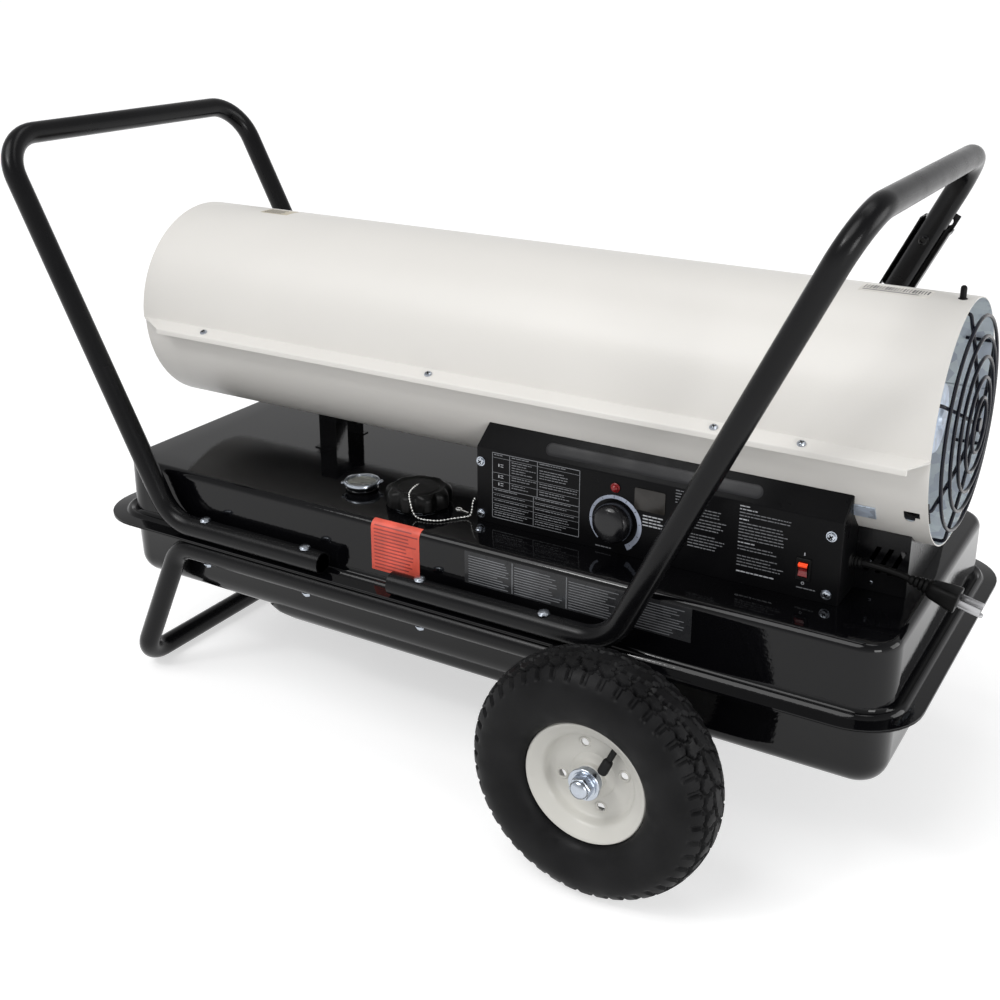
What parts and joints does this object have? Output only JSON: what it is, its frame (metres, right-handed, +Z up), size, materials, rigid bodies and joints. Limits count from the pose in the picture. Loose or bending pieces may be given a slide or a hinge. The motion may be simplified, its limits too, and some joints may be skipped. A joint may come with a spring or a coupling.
{
  "type": "forced air heater",
  "caption": "Portable kerosene forced air heater: a round two-shell barrel on a fuel tank, with a frame, two wheels, lifting handles, intake guard and side control panel.",
  "frame": {"origin": "on the ground, under the middle of the heater's bounding box without its loose cord and plug", "axes": "+X along the barrel towards the fan intake, -X towards the hot air outlet, +Z up; the control panel faces -Y"},
  "size_m": [1.1508, 0.664, 0.68],
  "materials": {
    "gloss_black": "gloss black enamel",
    "satin_black": "satin black powder coat",
    "shell_white": "off-white powder coat",
    "rim_white": "cream wheel paint",
    "galvanised": "galvanised sheet",
    "zinc": "bright zinc plate",
    "steel": "bare machined steel",
    "heat_steel": "heat stained steel",
    "tyre_rubber": "black tyre rubber",
    "rubber": "black rubber",
    "plastic": "black moulded plastic",
    "red_plastic": "translucent red plastic",
    "smoked": "smoked display window",
    "brass": "plain brass",
    "copper": "copper tube",
    "lens": "clear lens",
    "ceramic": "glazed porcelain",
    "circuit": "circuit board"
  },
  "bodies": {
    "machine": {"tank_upper_shell": "gloss_black", "tank_lower_shell": "gloss_black", "filler_neck": "zinc", "gauge_bezel": "zinc", "gauge_lens": "lens", "gauge_stem": "zinc", "drain_plug": "zinc", "handle_front": "satin_black", "handle_rear": "satin_black", "support_frame": "satin_black", "cord_hook": "satin_black", "axle": "zinc", "axle_nut_near": "zinc", "axle_nut_far": "zinc", "axle_spacer_near": "zinc", "axle_spacer_far": "zinc", "barrel_upper_shell": "shell_white", "barrel_lower_shell": "shell_white", "combustion_chamber": "heat_steel", "outlet_ring": "heat_steel", "flame_baffle": "heat_steel", "burner_head": "heat_steel", "nozzle_holder": "brass", "igniter": "ceramic", "flame_sensor": "plastic", "motor": "satin_black", "motor_bracket": "galvanised", "air_pump": "steel", "filter_cover": "galvanised", "intake_guard": "satin_black", "rear_support": "satin_black", "front_support": "satin_black", "control_panel": "satin_black", "control_board": "circuit", "thermostat": "steel", "indicator_lamp": "red_plastic", "panel_window": "smoked", "switch_bezel": "plastic", "panel_tab": "zinc", "ignition_transformer": "satin_black", "fuel_line": "copper", "air_line": "rubber", "cord_gland": "rubber", "power_cord": "rubber", "power_plug": "rubber"},
    "wheel_near": {"tyre_near": "tyre_rubber", "rim_near": "rim_white", "hub_near": "zinc"},
    "wheel_far": {"tyre_far": "tyre_rubber", "rim_far": "rim_white", "hub_far": "zinc"},
    "fan_rotor": {"fan_blade": "galvanised", "motor_shaft": "steel"},
    "thermostat_knob": {"thermostat_knob": "plastic"},
    "switch_rocker": {"switch_rocker": "red_plastic"},
    "cap_seal": {"cap_gasket": "rubber"},
    "fuel_cap": {"fuel_cap": "plastic"},
    "float_arm": {"float_arm": "brass"},
    "gauge_needle": {"gauge_needle": "red_plastic"}
  },
  "joints": [
    {"name": "wheel_near_spin", "type": "hinge", "parent": "machine", "child": "wheel_near", "pos_m": [0.29411, -0.291, 0.127], "axis": [0, 1, 0], "continuous": true},
    {"name": "wheel_far_spin", "type": "hinge", "parent": "machine", "child": "wheel_far", "pos_m": [0.29411, 0.291, 0.127], "axis": [0, 1, 0], "continuous": true},
    {"name": "fan_spin", "type": "hinge", "parent": "machine", "child": "fan_rotor", "pos_m": [0.31771, 0, 0.437], "axis": [1, 0, 0], "continuous": true},
    {"name": "thermostat_turn", "type": "hinge", "parent": "machine", "child": "thermostat_knob", "pos_m": [0.22811, -0.1265, 0.3115], "axis": [0, 1, 0], "range_deg": [0, 270]},
    {"name": "power_rock", "type": "hinge", "parent": "machine", "child": "switch_rocker", "pos_m": [0.42921, -0.1255, 0.307], "axis": [1, 0, 0], "range_deg": [-16, 0]},
    {"name": "cap_lift", "type": "slide", "parent": "machine", "child": "cap_seal", "axis": [0, 0, 1], "range_m": [0, 0.04]},
    {"name": "cap_turn", "type": "hinge", "parent": "cap_seal", "child": "fuel_cap", "pos_m": [-0.02029, -0.122, 0.29], "axis": [0, 0, 1], "range_deg": [0, 120]},
    {"name": "float_swing", "type": "hinge", "parent": "machine", "child": "float_arm", "pos_m": [-0.10129, -0.12, 0.206], "axis": [0, -1, 0], "range_deg": [0, 60]},
    {"name": "needle_turn", "type": "hinge", "parent": "machine", "child": "gauge_needle", "pos_m": [-0.10129, -0.12, 0.28], "axis": [0, 0, -1], "range_deg": [0, 96]}
  ],
  "couplings": [
    {"joint": "needle_turn", "follows": "float_swing", "ratio": 1.6}
  ]
}
